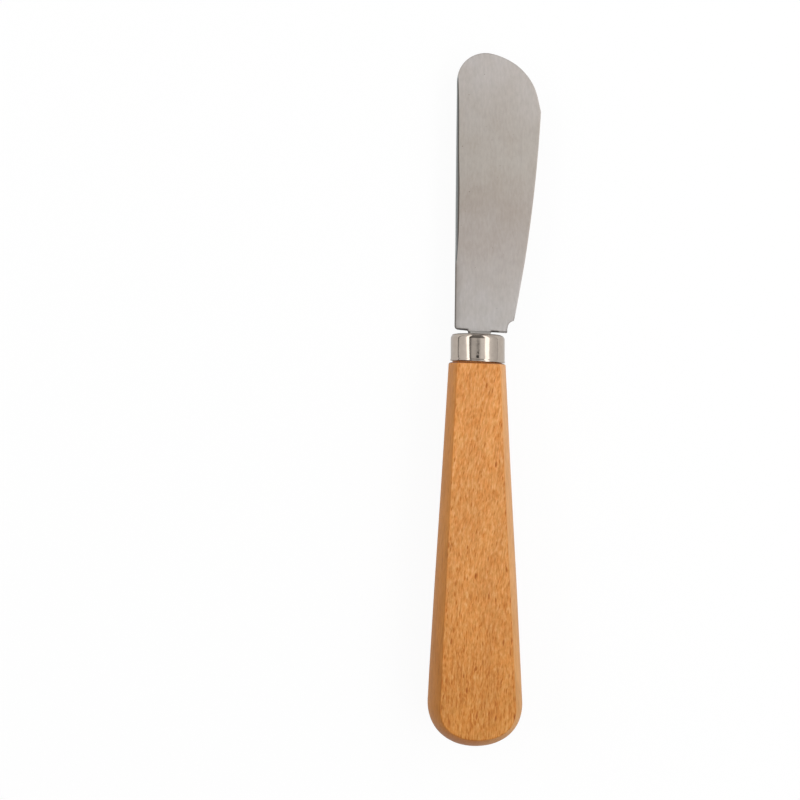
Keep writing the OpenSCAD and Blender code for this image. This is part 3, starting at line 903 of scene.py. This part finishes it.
def lamp_cloth():
    """Softbox cloth: how brightly it glows is written on its points."""
    m, t, out = new_material("lamp cloth")[:3]
    glow = add(t, "ShaderNodeAttribute", attribute_name="glow")["Fac"]
    t.links.new(add(t, "ShaderNodeEmission", {"Strength": glow})[0], out)
    return m


def matt_black():
    """Black card and the camera's black body, which the polished metal reflects."""
    m, t, out = new_material("matt black")[:3]
    t.links.new(add(t, "ShaderNodeEmission", {"Strength": 0.03})[0], out)
    return m


def tent_cloth(name, material, stops, start, end, dip=0.0):
    """One cloth of the light tent, an arch about the knife: stops are angles from straight up in degrees,
    the edge side positive, and the glow there; start and end say how far it runs along the knife, in
    metres. The stretch that the blade reflects, past the tip, glows less, by the share dip."""
    angles, glows = np.array(stops).T
    turn = np.unique(np.concatenate([angles, np.arange(angles[0], angles[-1], 1.0)]))[:, None]
    y = np.linspace(start, end, 33)[None]
    glow = LIGHT * np.interp(turn, angles, glows) * (1 - dip * np.exp(-((y - 0.125) / 0.055) ** 2))
    a = np.radians(turn) + 0 * y
    arch = np.stack([TENT_R * np.sin(a), y + 0 * a, TENT_R * np.cos(a)], -1)
    cloth = make_piece(name, arch, {"glow": glow})
    cloth.data.materials.append(material)
    cloth.visible_camera = False


stage_panel("floor", (0, 0, 0), (6.0, 6.0), white_floor())
# a soft tent: a bright box at each side, the one on the edge side larger, and paler cloth between
SPINE_SIDE_GLOW = [(-87.5, 0.84), (-78, 0.88), (-70, 0.9), (-65, 0.93), (-60, 0.97), (-57, 1.0), (-52, 1.22),
                   (-50.5, 1.55), (-48.3, 2.4), (-38, 2.4)]
TOP_GLOW = [(-31, 0.4), (-27, 0.66), (-22, 0.73), (-17, 0.73), (-10, 0.65), (5, 0.7), (8.7, 0.92), (12, 1.03),
            (16, 1.08), (20, 1.1), (24.5, 1.12), (28, 1.3), (30.3, 2.4)]
EDGE_SIDE_GLOW = [(30.3, 2.4), (44.6, 2.4), (47.8, 1.14), (51.5, 1.01), (57.5, 0.9), (64, 0.84), (74, 0.79),
                  (88, 0.75)]
cloth = lamp_cloth()
tent_cloth("spine_side_cloth", cloth, SPINE_SIDE_GLOW, -0.12, 1.0)
tent_cloth("top_cloth", cloth, TOP_GLOW, -0.30, 0.32, dip=0.3)
tent_cloth("edge_side_cloth", cloth, EDGE_SIDE_GLOW, -0.6, 1.0)
# what the ferrule reflects as dark marks: the camera's body, and a card that lies outside the picture
black = matt_black()
camera_body = stage_panel("camera_body", (-0.016, 0.016, 0.31), (0.058, 0.022), black)
side_card = stage_panel("side_card", (-0.197, 0.02, 0.001), (0.17, 0.5), black)
for panel in (camera_body, side_card):
    panel.visible_camera = False
# the card stands only for a dark reflection: matt surfaces don't see it and it throws no shadow
side_card.visible_diffuse = False
side_card.visible_shadow = False

world = bpy.data.worlds.new("grey studio")
world.use_nodes = True
sky = world.node_tree.nodes["Background"].inputs
sky["Color"].default_value = colour("#ffffff")
sky["Strength"].default_value = 0.28 * LIGHT
bpy.context.scene.world = world

# The camera looks square onto the knife's axis, as the photograph does
aside = -(AXIS_AT_CENTRE_ROW - PICTURE / 2) / PIXELS_PER_MM
from_tail = (TAIL_ROW - PICTURE / 2) / PIXELS_PER_MM
spot = Vector(laid_down(aside, from_tail, CAMERA_ABOVE_AXIS).tolist())
lean = Matrix.Rotation(-flat_lean, 4, "X")
camera = bpy.data.objects.new("camera", bpy.data.cameras.new("camera"))
camera.matrix_world = Matrix.Translation(spot) @ lean @ Matrix.Rotation(KNIFE_TURN, 4, "Z")
camera.data.sensor_width = SENSOR
camera.data.lens = SENSOR * PIXELS_PER_MM * CAMERA_ABOVE_AXIS / PICTURE
camera.data.clip_start = 0.01
camera.data.clip_end = 20.0
bpy.context.scene.collection.objects.link(camera)
bpy.context.scene.camera = camera
bpy.context.scene.view_settings.view_transform = "Standard"
